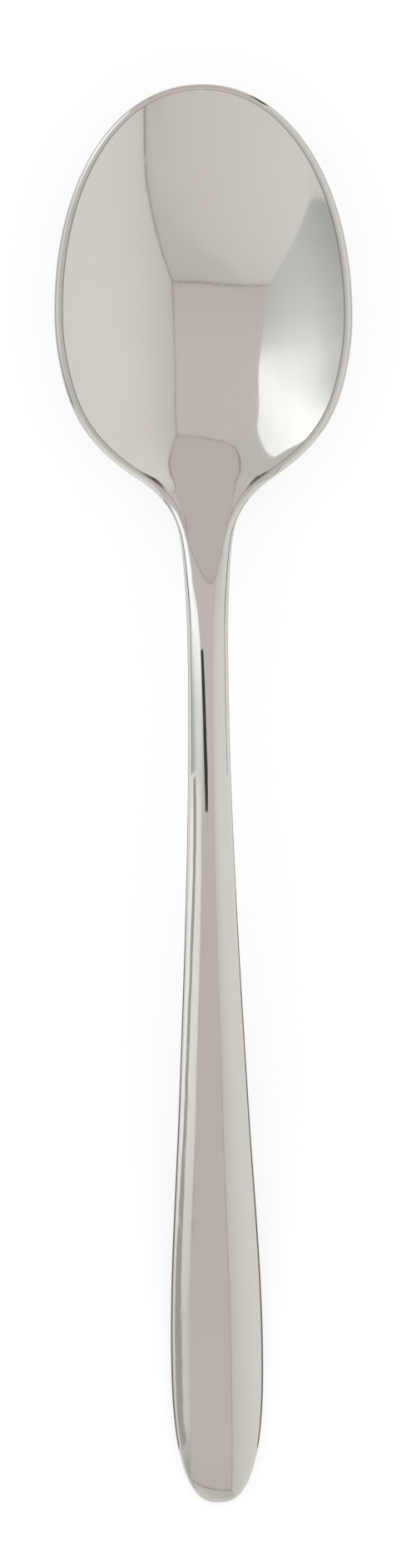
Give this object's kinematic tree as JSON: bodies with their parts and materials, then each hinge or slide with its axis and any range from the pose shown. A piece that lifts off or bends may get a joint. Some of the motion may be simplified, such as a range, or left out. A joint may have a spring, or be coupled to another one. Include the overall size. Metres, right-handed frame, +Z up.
{
  "type": "coffee spoon",
  "caption": "Polished steel coffee spoon with an egg-shaped bowl, a slim neck and a domed handle that widens to a rounded end, for stirring and sipping.",
  "frame": {"origin": "middle of the bounding box at its bottom, on the table that the spoon rests on", "axes": "+Y along the spoon towards the tip of the bowl, +Z up out of the bowl's hollow, +X to the right seen from above with the bowl pointing away"},
  "size_m": [0.029, 0.138, 0.0118],
  "materials": {
    "steel": "mirror-polished stainless steel, bare metal without plating"
  },
  "bodies": {
    "root": {"spoon": "steel"}
  },
  "joints": []
}
